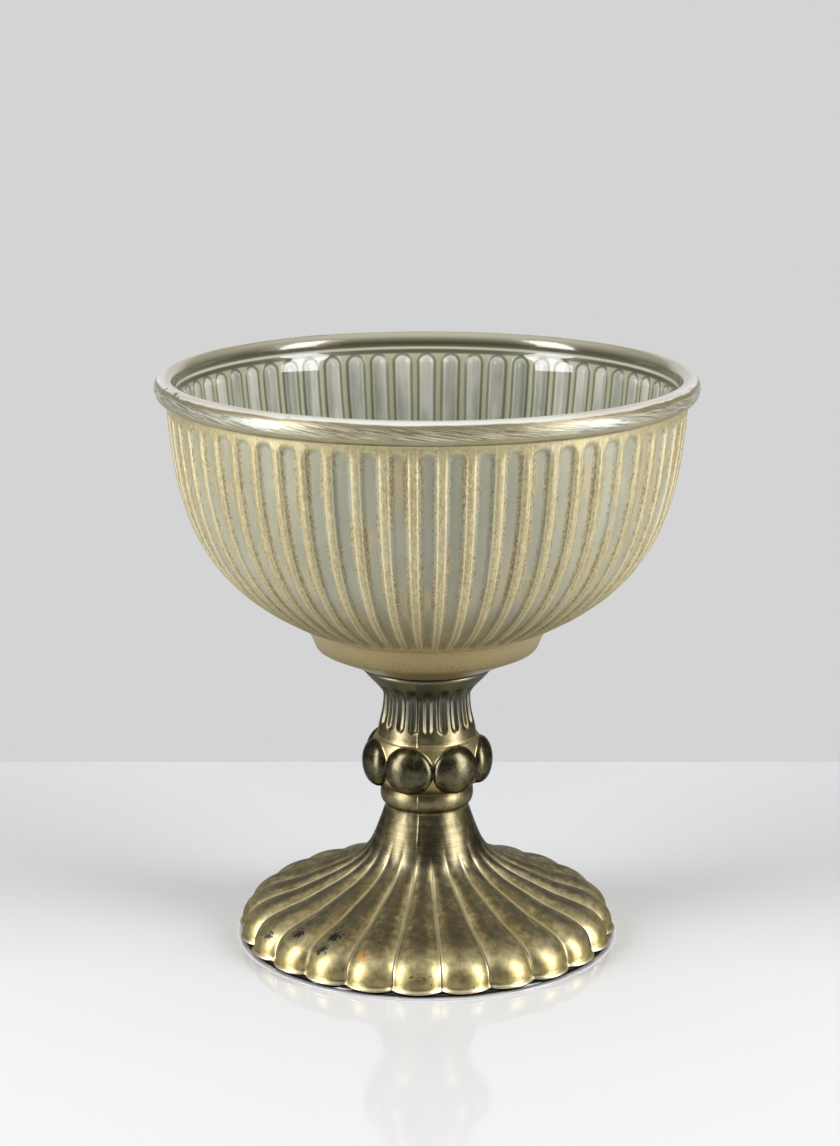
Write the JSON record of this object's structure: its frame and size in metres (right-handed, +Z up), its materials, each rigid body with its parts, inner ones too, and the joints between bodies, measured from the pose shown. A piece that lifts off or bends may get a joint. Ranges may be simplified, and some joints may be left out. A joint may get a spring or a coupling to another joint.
{
  "type": "pedestal compote",
  "caption": "Round ribbed glass bowl with a rolled rim, bonded to a bossed and fluted stem on a scalloped trumpet foot with a thin rest ring.",
  "frame": {"origin": "centre of the flat underside of the rest ring, on the surface that the compote stands on", "axes": "+Z up along the axis of the bowl and the pedestal, -Y towards the pictured front, +X to the right of it"},
  "size_m": [0.152, 0.152, 0.165],
  "materials": {
    "bowl_glass": "pressed clear glass, painted sage with antique gold rubbed over the ribs on the outside",
    "clear_bond": "clear set adhesive",
    "pedestal_glass": "pressed glass under a glossy antique gold and dark bronze paint",
    "rest_ring": "smooth and glossy"
  },
  "bodies": {
    "root": {"ribbed_glass_bowl": "bowl_glass", "bowl_bond_disc": "clear_bond", "scalloped_pedestal": "pedestal_glass", "foot_rest_ring": "rest_ring"}
  },
  "joints": []
}
